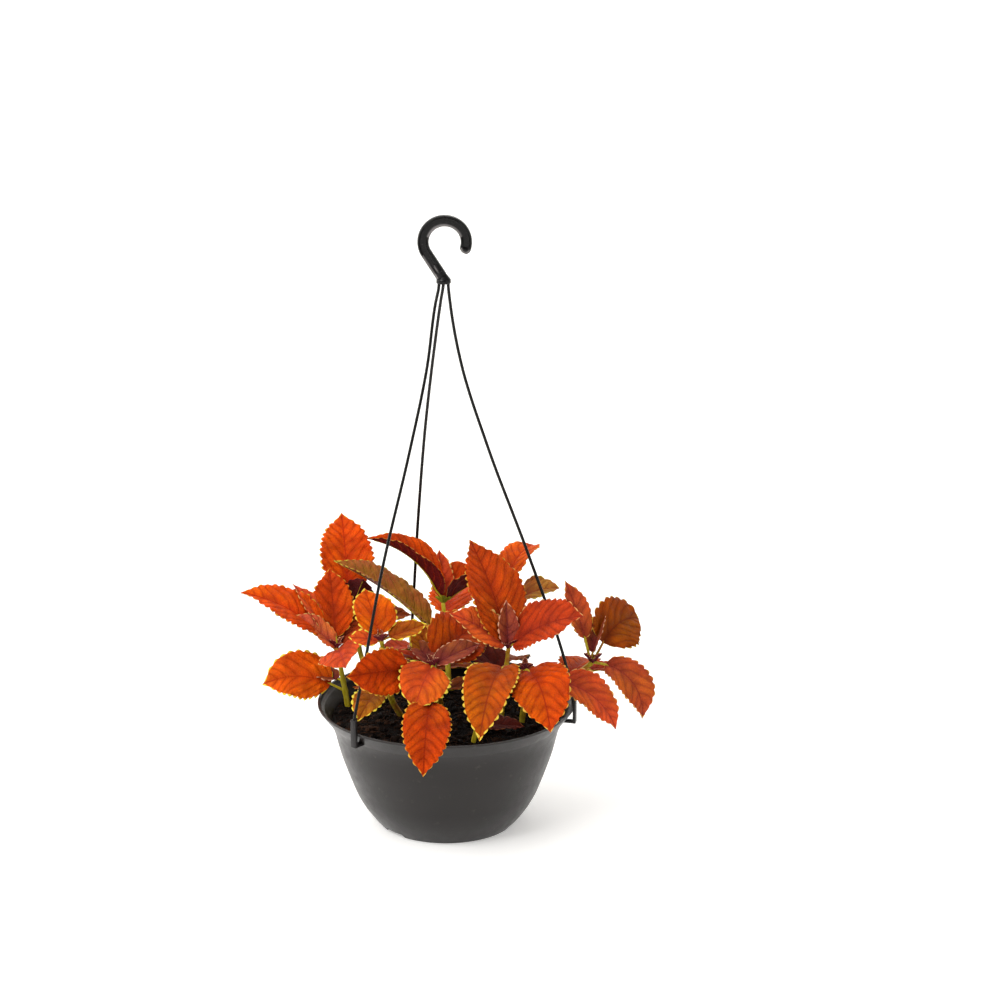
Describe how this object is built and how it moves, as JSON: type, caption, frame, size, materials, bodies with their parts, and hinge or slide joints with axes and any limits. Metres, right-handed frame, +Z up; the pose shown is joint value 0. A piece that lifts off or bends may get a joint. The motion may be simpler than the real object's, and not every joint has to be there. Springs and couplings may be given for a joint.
{
  "type": "coleus in a hanging pot",
  "caption": "Orange-leaved coleus growing in a dark moulded plastic pot that hangs from a hook on three thin strands.",
  "frame": {"origin": "middle of the pot's flat underside", "axes": "+Z up along the pot's axis, +X towards the open side of the hook, -Y the front"},
  "size_m": [0.401, 0.2925, 0.6011],
  "materials": {
    "pot_plastic": "satin",
    "potting_soil": "matte",
    "hanger_plastic": "satin",
    "coleus_leaf": "satin"
  },
  "bodies": {
    "root": {"pot": "pot_plastic", "potting_soil": "potting_soil", "hanger_hook": "hanger_plastic", "hanger_strand_left": "hanger_plastic", "hanger_strand_right": "hanger_plastic", "hanger_strand_back": "hanger_plastic", "leafy_stem_left": "coleus_leaf", "leafy_stem_back_left": "coleus_leaf", "leafy_stem_back": "coleus_leaf", "leafy_stem_middle_left": "coleus_leaf", "leafy_stem_centre": "coleus_leaf", "leafy_stem_centre_right": "coleus_leaf", "leafy_stem_right": "coleus_leaf", "leafy_stem_back_right": "coleus_leaf", "leafy_stem_back_low": "coleus_leaf", "leafy_stem_front_small": "coleus_leaf", "leafy_stem_front_right": "coleus_leaf"}
  },
  "joints": []
}
